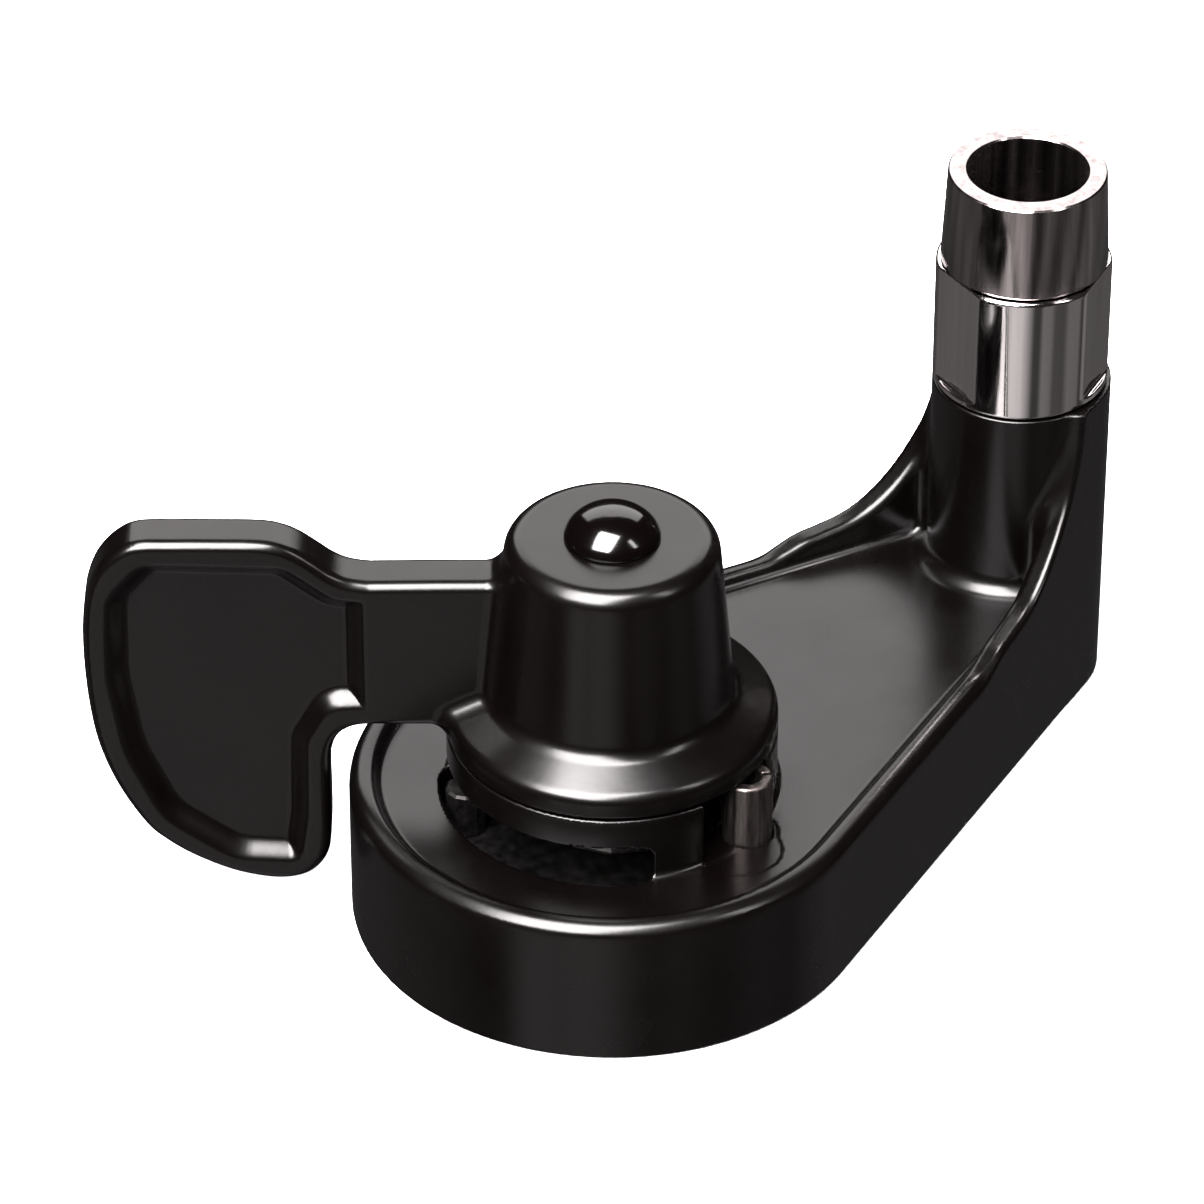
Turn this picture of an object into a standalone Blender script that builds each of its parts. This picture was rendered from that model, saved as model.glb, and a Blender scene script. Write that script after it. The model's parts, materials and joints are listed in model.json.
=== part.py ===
"""Lever-locked swivel base for a trailer jack post.

A cast base with a round head carries a hand lever on a vertical spindle.
Turning the lever turns a cam disc under the tray; a spiral slot in the disc
draws a lock slide along the base, and the shoe on the slide's far end holds
or frees the spigot of the chromed mast that stands in the rear boss.

Frame: origin on the lever's vertical axis, on the flat underside.
+X runs from the lever axis to the mast axis, +Z is up.  Lengths in mm are
turned into metres by MM.
"""
import bpy
import bmesh
import math
from mathutils import Matrix, Vector

MM = 0.001
GAP = 0.3            # clearance between touching pieces

# ---- driving dimensions (mm) -------------------------------------------
HEAD_R = 63.0        # round head of the base casting
MAST_X = 140.0       # lever axis to mast axis
TAIL_R = 22.5        # outer radius of the casting round the mast
RIM_Z = 38.2         # top of the raised rim
TRAY_Z = 34.8        # tray floor
ROOF_Z = 29.8        # underside of the tray plate
RIM_W = 7.0          # rim width
BOSS_R = 21.5        # vertical half-round boss
BOSS_Z = 86.0        # its top
PED_R = 39.4         # fixed pedestal round the spindle
PED_Z = 51.7         # its top
PED_IN = 34.6        # its inner radius
PED_ROOF = 47.0      # underside of its top plate
SLOT_R0, SLOT_R1 = 28.4, 41.2      # curved slot, inner and outer radius
SLOT_A0, SLOT_A1 = 136.0, 232.5    # centres of its two round ends, degrees
RELIEF_X, RELIEF_Y = 2.3, -40.6
SLOT_Z = 43.6        # top of the window it opens in the pedestal wall
PIN_R, PIN_X, PIN_Y = 6.0, 8.5, -36.8   # hollow stop pin
LEVER_A = 135.7      # direction of the lever at rest, degrees
HUB_Z0, HUB_Z1 = 52.3, 105.5
SPINDLE_R = 9.0
COLLAR_R = 21.5
COLLAR_Z = 120.0
TUBE_TOP = 145.0
SPIGOT_R = 13.0
FOLLOW_R = 26.0      # follower pin radius in the cam at rest
TRAVEL = 4.0         # lock slide travel
SWING = 92.0         # lever swing, degrees

# ---- clean scene --------------------------------------------------------
for ob in list(bpy.data.objects):
    bpy.data.objects.remove(ob, do_unlink=True)

scene_coll = bpy.context.scene.collection
PARTS = bpy.data.collections.new("swivel_base")
CUTS = bpy.data.collections.new("cutters")
scene_coll.children.link(PARTS)
scene_coll.children.link(CUTS)


def material(name, colour, rough, metal):
    m = bpy.data.materials.new(name)
    m.use_nodes = True
    b = m.node_tree.nodes["Principled BSDF"]
    b.inputs["Base Color"].default_value = (*colour, 1.0)
    b.inputs["Roughness"].default_value = rough
    b.inputs["Metallic"].default_value = metal
    m.diffuse_color = (*colour, 1.0)
    return m


BLACK = material("black_enamel", (0.012, 0.010, 0.010), 0.18, 0.0)
CHROME = material("chrome", (0.62, 0.60, 0.60), 0.10, 1.0)
STEEL = material("steel", (0.42, 0.40, 0.39), 0.35, 1.0)
ZINC = material("zinc_plate", (0.60, 0.60, 0.58), 0.30, 1.0)
BRONZE = material("bronze", (0.50, 0.32, 0.16), 0.35, 1.0)
RUBBER = material("rubber", (0.02, 0.02, 0.02), 0.8, 0.0)
SPRING = material("spring_steel", (0.25, 0.24, 0.24), 0.35, 1.0)


def empty(name, x=0.0, y=0.0, z=0.0, turn=0.0):
    e = bpy.data.objects.new(name, None)
    e.location = (x * MM, y * MM, z * MM)
    e.rotation_euler = (0, 0, math.radians(turn))
    e.empty_display_size = 0.02
    PARTS.objects.link(e)
    return e


def add(name, mesh, mat=None, parent=None, cutter=False, loc=(0, 0, 0)):
    ob = bpy.data.objects.new(name, mesh)
    (CUTS if cutter else PARTS).objects.link(ob)
    ob.location = Vector(loc) * MM
    if parent is not None:
        ob.parent = parent
    if cutter:
        ob.hide_render = True
        ob.display_type = 'WIRE'
    elif mat is not None:
        ob.data.materials.append(mat)
        ob.data.shade_smooth()
        ob.data.set_sharp_from_angle(angle=math.radians(35))
    return ob


def mesh_of(curve):
    """A filled 2D curve as a closed mesh."""
    tmp = bpy.data.objects.new("tmp", curve)
    PARTS.objects.link(tmp)
    dg = bpy.context.evaluated_depsgraph_get()
    me = bpy.data.meshes.new_from_object(tmp.evaluated_get(dg))
    bpy.data.objects.remove(tmp, do_unlink=True)
    bpy.data.curves.remove(curve)
    bm = bmesh.new()
    bm.from_mesh(me)
    bmesh.ops.remove_doubles(bm, verts=bm.verts, dist=1e-6)
    bmesh.ops.recalc_face_normals(bm, faces=bm.faces)
    bm.to_mesh(me)
    bm.free()
    return me


def prism(name, loops, lo, hi, plane='XY', **kw):
    """Flat outline(s), in mm, extruded from lo to hi along the plane's normal."""
    cu = bpy.data.curves.new(name, 'CURVE')
    cu.dimensions = '2D'
    cu.fill_mode = 'BOTH'
    for pts in loops:
        sp = cu.splines.new('POLY')
        sp.points.add(len(pts) - 1)
        for p, (x, y) in zip(sp.points, pts):
            p.co = (x * MM, y * MM, 0, 1)
        sp.use_cyclic_u = True
    cu.extrude = (hi - lo) / 2 * MM
    me = mesh_of(cu)
    mid = (hi + lo) / 2 * MM
    if plane == 'XY':
        me.transform(Matrix.Translation((0, 0, mid)))
    elif plane == 'XZ':        # outline in X and Z, extruded along Y
        me.transform(Matrix.Translation((0, mid, 0)) @ Matrix.Rotation(math.radians(90), 4, 'X'))
    elif plane == 'YZ':        # outline in Y and Z, extruded along X
        me.transform(Matrix.Translation((mid, 0, 0)) @ Matrix(((0, 0, 1, 0), (1, 0, 0, 0), (0, 1, 0, 0), (0, 0, 0, 1))))
    return add(name, me, **kw)


def turned(name, profile, steps, ring=False, **kw):
    """Profile of (radius, height) in mm, top to bottom on its outer side."""
    me = bpy.data.meshes.new(name)
    bm = bmesh.new()
    vs = [bm.verts.new((r * MM, 0, z * MM)) for r, z in profile]
    for a, b in zip(vs, vs[1:]):
        bm.edges.new((a, b))
    if ring:
        bm.edges.new((vs[-1], vs[0]))
    bm.to_mesh(me)
    bm.free()
    ob = add(name, me, **kw)
    s = ob.modifiers.new("turn", 'SCREW')
    s.axis = 'Z'
    s.angle = math.radians(360)
    s.steps = s.render_steps = steps
    s.use_merge_vertices = True
    s.merge_threshold = 1e-6
    s.use_smooth_shade = not kw.get("cutter", False)
    w = ob.modifiers.new("close", 'WELD')
    w.merge_threshold = 1e-6
    return ob


def rod(name, r, z0, z1, steps=16, **kw):
    return turned(name, [(0, z1), (r, z1), (r, z0), (0, z0)], steps, **kw)


def cut(ob, other, how='DIFFERENCE'):
    m = ob.modifiers.new(how.lower(), 'BOOLEAN')
    m.operation = how
    m.object = other
    m.solver = 'EXACT'
    return m


def cut_all(ob, others, how='DIFFERENCE'):
    """One Boolean against several solids at once, gathered in a collection."""
    c = bpy.data.collections.new("%s_%s_%d" % (ob.name, how.lower(), len(ob.modifiers)))
    CUTS.children.link(c)
    for o in others:
        CUTS.objects.unlink(o)
        c.objects.link(o)
    m = ob.modifiers.new(how.lower(), 'BOOLEAN')
    m.operation = how
    m.operand_type = 'COLLECTION'
    m.collection = c
    m.solver = 'EXACT'
    return m


def arc(cx, cy, r, a0, a1, n):
    return [(cx + r * math.cos(math.radians(a0 + (a1 - a0) * i / n)),
             cy + r * math.sin(math.radians(a0 + (a1 - a0) * i / n))) for i in range(n + 1)]


def hull(inset, n=8, m=5):
    """Outline round the head circle and the mast circle, inset by a distance."""
    r1, r2 = HEAD_R - inset, TAIL_R - inset
    t = 90 - math.degrees(math.asin((r1 - r2) / MAST_X))
    pts = arc(0, 0, r1, t, 90, 2)[:-1]
    pts += arc(0, 0, r1, 90, 180, n)[:-1]
    pts += arc(0, 0, r1, 180, 270, n)[:-1]
    pts += arc(0, 0, r1, 270, 360 - t, 2)
    pts += arc(MAST_X, 0, r2, -t, 0, m)[:-1]
    pts += arc(MAST_X, 0, r2, 0, t, m)
    return pts


def hull2(r1, r2, n=8, m=5):
    """Same outline with its own two radii."""
    t = 90 - math.degrees(math.asin((r1 - r2) / MAST_X))
    return (arc(0, 0, r1, t, 90, 2)[:-1] + arc(0, 0, r1, 90, 180, n)[:-1]
            + arc(0, 0, r1, 180, 270, n)[:-1] + arc(0, 0, r1, 270, 360 - t, 2)
            + arc(MAST_X, 0, r2, -t, 0, m)[:-1] + arc(MAST_X, 0, r2, 0, t, m))


def polar(r, a):
    return r * math.cos(math.radians(a)), r * math.sin(math.radians(a))


# ---- joints' axes -------------------------------------------------------
lever_axis = empty("lever_axis", turn=LEVER_A)
mast_axis = empty("mast_axis", x=MAST_X)
slide_axis = empty("slide_axis")

# ---- base casting -------------------------------------------------------
# the block is cut away above its rim and in front of the swept upright, whose
# edge climbs from the rim to the top of the boss
base = prism("base_casting", [hull(0)], 0, BOSS_Z - 0.6, mat=BLACK)
SWEEP = [(88, RIM_Z), (93, 39.6), (98, 41.2), (104, 42.1), (109.5, 43.1), (114.7, 45.2), (120, 49.0),
         (125, 54.2), (129.0, 59.8), (132.0, 65.0), (134.3, 70.8), (136.1, 77.0), (137.8, 90.0)]
above = prism("above_rim", [[(-80, RIM_Z)] + SWEEP + [(-80, 90)]], -70, 70, plane='XZ', cutter=True)
tray = prism("tray_hollow", [hull(RIM_W)], TRAY_Z, 96, cutter=True)
cut_all(base, [above, tray])

boss = rod("mast_boss", BOSS_R, 31, BOSS_Z, 32, cutter=True, loc=(MAST_X, 0, 0))
pedestal = rod("pedestal", PED_R, 31, PED_Z, 36, cutter=True)
cut_all(base, [boss, pedestal], 'UNION')

# mechanism space under the tray, left full round the screw and pin bosses
COVER_SCREWS = [polar(50.0, a) for a in (65, 135, 225, 295)] + [(98.0, 23.5), (98.0, -23.5)]
space = prism("mechanism_space", [hull2(55.0, 15.5)], -1, ROOF_Z, cutter=True)
bosses = [rod("screw_boss_%d" % (i + 1), 4.8, -3, 33, 10, cutter=True, loc=(x, y, 0))
          for i, (x, y) in enumerate(COVER_SCREWS)]
pin_boss = rod("pin_boss", 9.0, 25.6, 56, 16, cutter=True, loc=(PIN_X, PIN_Y, 0))
relief_wall = rod("relief_wall", 12.2, 29.0, 57, 20, cutter=True, loc=(RELIEF_X, RELIEF_Y, 0))
well = rod("pedestal_well", PED_IN, 24, PED_ROOF, 28, cutter=True)
cut_all(well, [pin_boss, relief_wall])
cut(space, pin_boss)
cut_all(space, bosses)

recess = prism("cover_recess", [hull2(59.4, 18.7)], -1, 4.6, cutter=True)

slot_mid = (SLOT_R0 + SLOT_R1) / 2
slot_half = (SLOT_R1 - SLOT_R0) / 2
slot_pts = (arc(0, 0, SLOT_R1, SLOT_A0, SLOT_A1, 12)
            + arc(*polar(slot_mid, SLOT_A1), slot_half, SLOT_A1, SLOT_A1 + 180, 6)[1:-1]
            + arc(0, 0, SLOT_R0, SLOT_A1, SLOT_A0, 12)
            + arc(*polar(slot_mid, SLOT_A0), slot_half, SLOT_A0 + 180, SLOT_A0 + 360, 6)[1:-1])
slot = prism("curved_slot", [slot_pts], 22, SLOT_Z, cutter=True)
bush_bore = rod("upper_bush_bore", 12.3, 40, 60, 16, cutter=True)
mast_bore = turned("mast_bore", [(0, 96), (17.6, 96), (17.6, 84.7), (15.8, 84.7), (15.8, 20), (0, 20)], 24,
                   cutter=True, loc=(MAST_X, 0, 0))
pin_hole = rod("pin_hole", PIN_R + GAP, 27.6, 60, 16, cutter=True, loc=(PIN_X, PIN_Y, 0))
holes = [rod("screw_hole_%d" % (i + 1), 2.8, -1, 18, 8, cutter=True, loc=(x, y, 0))
         for i, (x, y) in enumerate(COVER_SCREWS)]
# the pedestal's wall is cut back beside the stop pin
relief = [rod("pin_relief", 7.4, 34.6, 54, 20, cutter=True, loc=(PIN_X, PIN_Y, 0)),
          rod("wall_relief", 10.0, 34.6, 54, 24, cutter=True, loc=(RELIEF_X, RELIEF_Y, 0))]
cut_all(base, [space, well, recess, slot, bush_bore, mast_bore, pin_hole] + relief + holes)

# ---- bottom cover, gasket and screws ------------------------------------
cover = prism("bottom_cover", [hull2(59.1, 18.4)], 0, 3.0, mat=ZINC)
cover_boss = turned("cover_boss", [(0, 11), (14, 11), (14, 1.5), (0, 1.5)], 16, cutter=True)
cut(cover, cover_boss, 'UNION')
cut(cover, rod("lower_bush_bore", 11.9, 3.3, 15, 16, cutter=True))
gasket = prism("base_gasket", [hull2(59.1, 18.4), hull2(55.4, 15.9)], 3.3, 4.3, mat=RUBBER)

for i, (x, y) in enumerate(COVER_SCREWS):
    c = turned("screw_seat_%d" % (i + 1), [(0, 6), (2.8, 6), (2.8, 2.9), (5.4, 0.1), (5.4, -1), (0, -1)], 8,
               cutter=True, loc=(x, y, 0))
    cut(cover, c)
    s = turned("cover_screw_%d" % (i + 1),
               [(0, 14.5), (1.9, 14.5), (2.45, 13.9), (2.45, 2.65), (4.7, 0.4), (4.7, 0.2), (1.6, 0.2), (1.6, 1.7), (0, 1.7)],
               8, mat=ZINC, loc=(x, y, 0))

# ---- lever casting (drawn along its own +X, turned by the axis empty) ----
hub_profile = [(0, HUB_Z1), (21.8, HUB_Z1), (23.5, 104.9), (24.6, 103.6), (25.2, 101.5), (28.0, 73.0), (28.5, 68.0),
               (30.0, 64.2), (33.0, 61.2), (36.2, 59.3), (38.2, 57.6), (39.4, 55.0), (39.4, HUB_Z0), (0, HUB_Z0)]
lever = turned("paddle_lever", hub_profile, 40, mat=BLACK, parent=lever_axis)
OUTLINE = [(15, 95.8), (45, 95.8), (57, 95.4), (62, 96.1), (66, 98.6), (69.5, 101.9), (73, 104.4), (77, 106.4),
           (82, 107.3), (108, 107.3), (113.9, 105.3), (118.7, 101.2), (122.0, 95.2), (123.8, 87), (124.2, 76),
           (123.6, 62), (121.8, 49.4), (117.7, 37), (111.2, 25), (106.2, 19.8), (100.5, 15.6), (92.7, 11.7),
           (85.8, 9.6), (78.0, 8.7), (73.2, 9.8), (69.8, 12.4), (67.7, 16.5), (67.0, 23), (67.0, 40),
           (66.6, 47), (64.8, 51.6), (61.5, 54.0), (58, 54.6), (45, 54.6), (15, 54.6)]
LEVER_T = 6.4        # half thickness of arm and paddle
blade = prism("lever_blade", [OUTLINE], -LEVER_T, LEVER_T, plane='XZ', cutter=True, parent=lever_axis)
PANEL = [(62, 91.5), (70, 95), (82, 100), (108, 100), (112.6, 96), (114, 88), (114, 62), (112.5, 49), (108, 36),
         (102, 27), (94, 21.5), (84, 19), (79.5, 19.5), (76, 23), (75.5, 48), (73, 55), (68, 59.5), (62, 61)]
for side in (-1, 1):
    lo, hi = (LEVER_T - 3.2, LEVER_T + 3) if side > 0 else (-LEVER_T - 3, -LEVER_T + 3.2)
    cut(blade, prism("paddle_panel_%s" % ("a" if side > 0 else "b"), [PANEL], lo, hi, plane='XZ', cutter=True,
                     parent=lever_axis))
cut(lever, blade, 'UNION')
cut(lever, rod("hub_bore", SPINDLE_R + GAP, 50, 88.0, 16, cutter=True, parent=lever_axis))
cut(lever, rod("hub_screw_hole", 4.4, 86, 95, 10, cutter=True, parent=lever_axis))
cut(lever, rod("hub_counterbore", 8.6, 92.0, 110, 16, cutter=True, parent=lever_axis))
cut(lever, rod("washer_recess", 18.0, 50, 53.9, 20, cutter=True, parent=lever_axis))
cut(lever, prism("hub_keyway", [[(7, -2.3), (11.6, -2.3), (11.6, 2.3), (7, 2.3)]], 50, 86, cutter=True,
                 parent=lever_axis))

# ---- spindle and what is fixed to it -------------------------------------
spindle = turned("lever_spindle",
                 [(0, 87.7), (8.4, 87.7), (9.0, 87.1), (9.0, 15.3), (7.8, 15.3), (7.8, 13.7), (9.0, 13.7), (9.0, 4.6),
                  (8.4, 4.0), (0, 4.0)], 16, mat=STEEL, parent=lever_axis)
cut(spindle, rod("spindle_thread_hole", 4.3, 69, 95, 10, cutter=True, parent=lever_axis))
cut(spindle, prism("spindle_keyseat_top", [[(7.0, -2.3), (12, -2.3), (12, 2.3), (7.0, 2.3)]], 66.7, 85.3,
                   cutter=True, parent=lever_axis))
cut(spindle, prism("spindle_keyseat_low", [[(7.0, -2.3), (12, -2.3), (12, 2.3), (7.0, 2.3)]], 16.0, 22.1,
                   cutter=True, parent=lever_axis))
prism("hub_key", [[(7.3, -2), (11.3, -2), (11.3, 2), (7.3, 2)]], 67, 85, mat=STEEL, parent=lever_axis)
prism("cam_key", [[(7.3, -2), (11.3, -2), (11.3, 2), (7.3, 2)]], 16.2, 21.8, mat=STEEL, parent=lever_axis)

turned("hub_screw",
       [(0, 99.0), (6.0, 99.0), (6.8, 98.3), (6.8, 93.6), (4.0, 93.6), (4.0, 71.6), (3.4, 71.0), (0, 71.0)], 12,
       mat=ZINC, parent=lever_axis)
cut(bpy.data.objects["hub_screw"],
    turned("hex_socket", [(0, 101), (3.4, 101), (3.4, 95.6), (0, 95.6)], 6, cutter=True, parent=lever_axis))
turned("hub_washer", [(8.2, 93.3), (8.2, 92.3), (4.4, 92.3), (4.4, 93.3)], 16, ring=True, mat=ZINC,
       parent=lever_axis)
turned("dome_cap",
       [(0, 112.8), (3.4, 112.5), (6.4, 111.8), (8.8, 110.6), (10.5, 108.9), (11.4, 106.9), (11.4, 105.8), (8.2, 105.8),
        (8.2, 100.2),
        (7.4, 99.4), (0, 99.4)], 24, mat=BLACK, parent=lever_axis)

turned("upper_bush", [(12.0, 51.5), (12.0, 41.4), (9.3, 41.4), (9.3, 51.5)], 16, ring=True, mat=BRONZE)
turned("lower_bush", [(11.6, 10.8), (11.6, 3.6), (9.3, 3.6), (9.3, 10.8)], 16, ring=True, mat=BRONZE)
turned("thrust_washer", [(17.6, 53.5), (17.6, 52.0), (9.4, 52.0), (9.4, 53.5)], 20, ring=True, mat=BRONZE)

# cam disc with its spiral slot: the follower's radius falls evenly with turn
CAM_R = 42.4
SP_W = 3.35


def spiral(off, n=14, spare=4.0):
    pts = []
    for i in range(n + 1):
        th = -spare + (SWING + 2 * spare) * i / n
        r = FOLLOW_R - TRAVEL * th / SWING
        pts.append(polar(r + off, -LEVER_A - th))
    return pts


th0, th1 = -4.0, SWING + 4.0
r_a, a_a = FOLLOW_R - TRAVEL * th0 / SWING, -LEVER_A - th0
r_b, a_b = FOLLOW_R - TRAVEL * th1 / SWING, -LEVER_A - th1
slot_loop = (spiral(SP_W) + arc(*polar(r_b, a_b), SP_W, a_b, a_b - 180, 6)[1:-1]
             + spiral(-SP_W)[::-1] + arc(*polar(r_a, a_a), SP_W, a_a - 180, a_a - 360, 6)[1:-1])
PEG_A = 1.8
cam = prism("cam_disc",
            [arc(0, 0, CAM_R, 0, 360, 36)[:-1], arc(0, 0, SPINDLE_R + GAP, 0, 360, 16)[:-1], slot_loop],
            15.6, 21.6, mat=STEEL, parent=lever_axis)
cut(cam, prism("cam_keyway", [[(7, -2.3), (11.6, -2.3), (11.6, 2.3), (7, 2.3)]], 12, 25, cutter=True,
               parent=lever_axis))
px, py = polar(slot_mid, PEG_A)
cut(cam, rod("peg_hole", 2.9, 12, 25, 10, cutter=True, loc=(px, py, 0), parent=lever_axis))
turned("stop_peg", [(0, 33.6), (4.4, 33.6), (5.0, 33.0), (5.0, 21.9), (2.6, 21.9), (2.6, 15.8), (0, 15.8)], 12,
       mat=STEEL, parent=lever_axis, loc=(px, py, 0))
# open ring in the spindle's groove, under the disc
prism("cam_clip", [arc(0, 0, 12.0, 30, 330, 12) + arc(0, 0, 8.1, 330, 30, 12)], 14.0, 15.0, mat=SPRING,
      parent=lever_axis)

# ---- return spring round the spindle -------------------------------------
COIL_R, WIRE, TURNS = 17.0, 1.3, 3.0
cu = bpy.data.curves.new("return_spring", 'CURVE')
cu.dimensions = '3D'
cu.bevel_depth = WIRE * MM
cu.bevel_resolution = 2
cu.use_fill_caps = True
path = [(27.6, -77.0, 39.6), (24.0, -71.0, 39.6), (19.6, -60.0, 39.4)]
pts3 = [Vector((*polar(r, a), z)) for r, a, z in path]
for i in range(int(TURNS * 12) + 1):
    a = -45 + i * 30
    pts3.append(Vector((*polar(COIL_R, a), 39.0 - 4.5 * i / 12)))
last = pts3[-1]
pts3 += [Vector((last.x, last.y + 0.4, last.z - 1.6)), Vector((last.x, last.y + 0.4, 23.4))]
sp = cu.splines.new('POLY')
sp.points.add(len(pts3) - 1)
for p, q in zip(sp.points, pts3):
    p.co = (*(q * MM), 1)
me = mesh_of(cu)
add("return_spring", me, mat=SPRING)

# ---- hollow stop pin in its pocket ----------------------------------------
turned("stop_pin", [(3.3, 51.2), (5.0, 51.2), (6.0, 50.2), (6.0, 28.6), (5.4, 28.0), (3.3, 28.0)], 24, ring=True,
       mat=STEEL, loc=(PIN_X, PIN_Y, 0))
cut(bpy.data.objects["stop_pin"],
    prism("pin_slit", [[(-0.5, 0), (0.5, 0), (0.5, 9), (-0.5, 9)]], 20, 60, cutter=True, loc=(PIN_X, PIN_Y, 0)))

# ---- lock slide ------------------------------------------------------------
slide = prism("lock_slide", [[(19.4, -7), (21, -8.2), (113, -8.2), (113, 8.2), (21, 8.2), (19.4, 7)]], 7, 13,
              mat=STEEL, parent=slide_axis)
cut(slide, rod("follower_hole", 3.3, 0, 20, 10, cutter=True, loc=(FOLLOW_R, 0, 0)))
cut(slide, rod("shoe_screw_hole", 2.3, 0, 20, 8, cutter=True, loc=(107, 0, 0)))
turned("follower_pin", [(0, 21.0), (2.4, 21.0), (3.0, 20.4), (3.0, 7.9), (2.4, 7.3), (0, 7.3)], 12, mat=STEEL,
       parent=slide_axis, loc=(FOLLOW_R, 0, 0))
shoe_arc = [(MAST_X - (SPIGOT_R + GAP) * math.cos(math.radians(a)), (SPIGOT_R + GAP) * math.sin(math.radians(a)))
            for a in range(-36, 37, 9)]
shoe = prism("lock_shoe", [[(100, -9), (125, -9)] + [p for p in shoe_arc] + [(125, 9), (100, 9)]], 13.3, 24.5,
             mat=BRONZE, parent=slide_axis)
cut(shoe, turned("shoe_screw_seat", [(0, 30), (4.0, 30), (4.0, 20.0), (2.3, 20.0), (2.3, 5), (0, 5)], 10,
                 cutter=True, loc=(107, 0, 0)))
turned("shoe_screw", [(0, 23.6), (3.2, 23.6), (3.7, 23.1), (3.7, 20.3), (2.0, 20.3), (2.0, 7.4), (0, 7.4)], 10,
       mat=ZINC, parent=slide_axis, loc=(107, 0, 0))

RAIL = [(5.6, 3.3), (15.5, 3.3), (15.5, 16.0), (5.6, 16.0), (5.6, 13.3), (8.5, 13.3), (8.5, 6.7), (5.6, 6.7)]
guides = []
guides.append(prism("slide_guide_left", [RAIL], 50, 92, plane='YZ', mat=STEEL))
guides.append(prism("slide_guide_right", [[(-y, z) for y, z in RAIL]], 50, 92, plane='YZ', mat=STEEL))
k = 0
for g, sy in ((guides[0], 1), (guides[1], -1)):
    for x in (57, 85):
        k += 1
        p = (x, sy * 12.0, 0)
        cut(g, rod("guide_thread_%d" % k, 1.8, -2, 12, 8, cutter=True, loc=p))
        cut(cover, turned("guide_seat_%d" % k, [(0, 6), (1.8, 6), (1.8, 2.2), (3.6, 0.2), (3.6, -1), (0, -1)], 8,
                          cutter=True, loc=p))
        turned("guide_screw_%d" % k, [(0, 11.2), (1.5, 11.2), (1.5, 2.0), (3.1, 0.4), (3.1, 0.2), (0, 0.2)], 8,
               mat=ZINC, loc=p)

# ---- mast -------------------------------------------------------------------
turned("mast_lower_bush", [(15.5, 42.0), (15.5, 30.2), (13.3, 30.2), (13.3, 42.0)], 20, ring=True, mat=BRONZE,
       loc=(MAST_X, 0, 0))
turned("mast_upper_bush", [(15.5, 84.4), (15.5, 70.0), (13.3, 70.0), (13.3, 84.4)], 20, ring=True, mat=BRONZE,
       loc=(MAST_X, 0, 0))
turned("mast_thrust_washer", [(17.3, 86.0), (17.3, 85.0), (13.4, 85.0), (13.4, 86.0)], 20, ring=True, mat=BRONZE,
       loc=(MAST_X, 0, 0))
collar = turned("mast_collar",
                [(20.0, COLLAR_Z), (COLLAR_R, 118.4), (COLLAR_R, 87.0), (20.8, 86.3), (13, 86.3), (13, 29.6),
                 (11.4, 29.6), (11.4, 27.0), (13, 27.0), (13, 6.0), (12, 5.0), (8.0, 5.0), (8.0, 95.0), (17.6, 95.0),
                 (17.6, COLLAR_Z)], 32, ring=True, mat=CHROME, parent=mast_axis)
# three wrench flats round the collar, with round wall between them
FLAT_D, FLAT_A = 19.9, (169.4, 289.4, 49.4)
for i, a in enumerate(FLAT_A):
    c, s = math.cos(math.radians(a)), math.sin(math.radians(a))
    box = [(FLAT_D, -15), (FLAT_D + 8, -15), (FLAT_D + 8, 15), (FLAT_D, 15)]
    cut(collar, prism("wrench_flat_%d" % (i + 1), [[(x * c - y * s, x * s + y * c) for x, y in box]], 88.5, 125,
                      cutter=True, parent=mast_axis))
turned("mast_tube",
       [(19.3, TUBE_TOP), (20.4, COLLAR_Z + GAP), (17.3, COLLAR_Z + GAP), (17.3, 95.6), (14.6, 95.6),
        (14.6, TUBE_TOP)], 32, ring=True, mat=CHROME, parent=mast_axis)
snap = prism("mast_snap_ring", [arc(0, 0, 15.2, 20, 340, 14) + arc(0, 0, 12.1, 340, 20, 14)], 27.3, 29.3, mat=SPRING,
             parent=mast_axis)

# ---- tidy: the frames of all pieces are up to date ---------------------------
bpy.context.view_layer.update()
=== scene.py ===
import bpy
import bmesh
import json
import math
import numpy as np
from mathutils import Matrix, Vector


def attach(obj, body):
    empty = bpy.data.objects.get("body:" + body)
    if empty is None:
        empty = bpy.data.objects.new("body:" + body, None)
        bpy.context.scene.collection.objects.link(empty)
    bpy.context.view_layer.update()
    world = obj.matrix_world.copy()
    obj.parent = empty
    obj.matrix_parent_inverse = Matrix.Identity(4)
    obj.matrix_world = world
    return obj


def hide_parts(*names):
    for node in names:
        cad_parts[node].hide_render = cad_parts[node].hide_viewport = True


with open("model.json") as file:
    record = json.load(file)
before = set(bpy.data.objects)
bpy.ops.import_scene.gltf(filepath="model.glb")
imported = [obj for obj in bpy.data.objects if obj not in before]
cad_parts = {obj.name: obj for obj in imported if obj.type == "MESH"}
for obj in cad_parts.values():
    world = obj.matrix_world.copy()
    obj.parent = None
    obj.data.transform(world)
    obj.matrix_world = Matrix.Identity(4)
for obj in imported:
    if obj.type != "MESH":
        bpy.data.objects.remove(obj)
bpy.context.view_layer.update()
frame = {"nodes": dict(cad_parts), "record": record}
MM = 0.001

# ---------------------------------------------------------------- dimensions (mm), as in the CAD
HEAD_R, TAIL_R, MAST_X = 63.0, 22.5, 140.0
RIM_Z, TRAY_Z, ROOF_Z, BOSS_Z = 38.2, 34.8, 29.8, 86.0
BOSS_R, PED_R, PED_Z, PED_IN = 21.5, 39.4, 51.7, 34.6
SLOT_MID, SLOT_HALF, SLOT_A0, SLOT_A1, SLOT_Z = 34.8, 6.4, 136.0, 232.5, 43.9
PIN_X, PIN_Y = 8.5, -36.8
LEVER_A = 135.7
RELIEF_X, RELIEF_Y = 2.3, -40.6

# ================================================================ implicit surfaces in numpy


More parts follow.
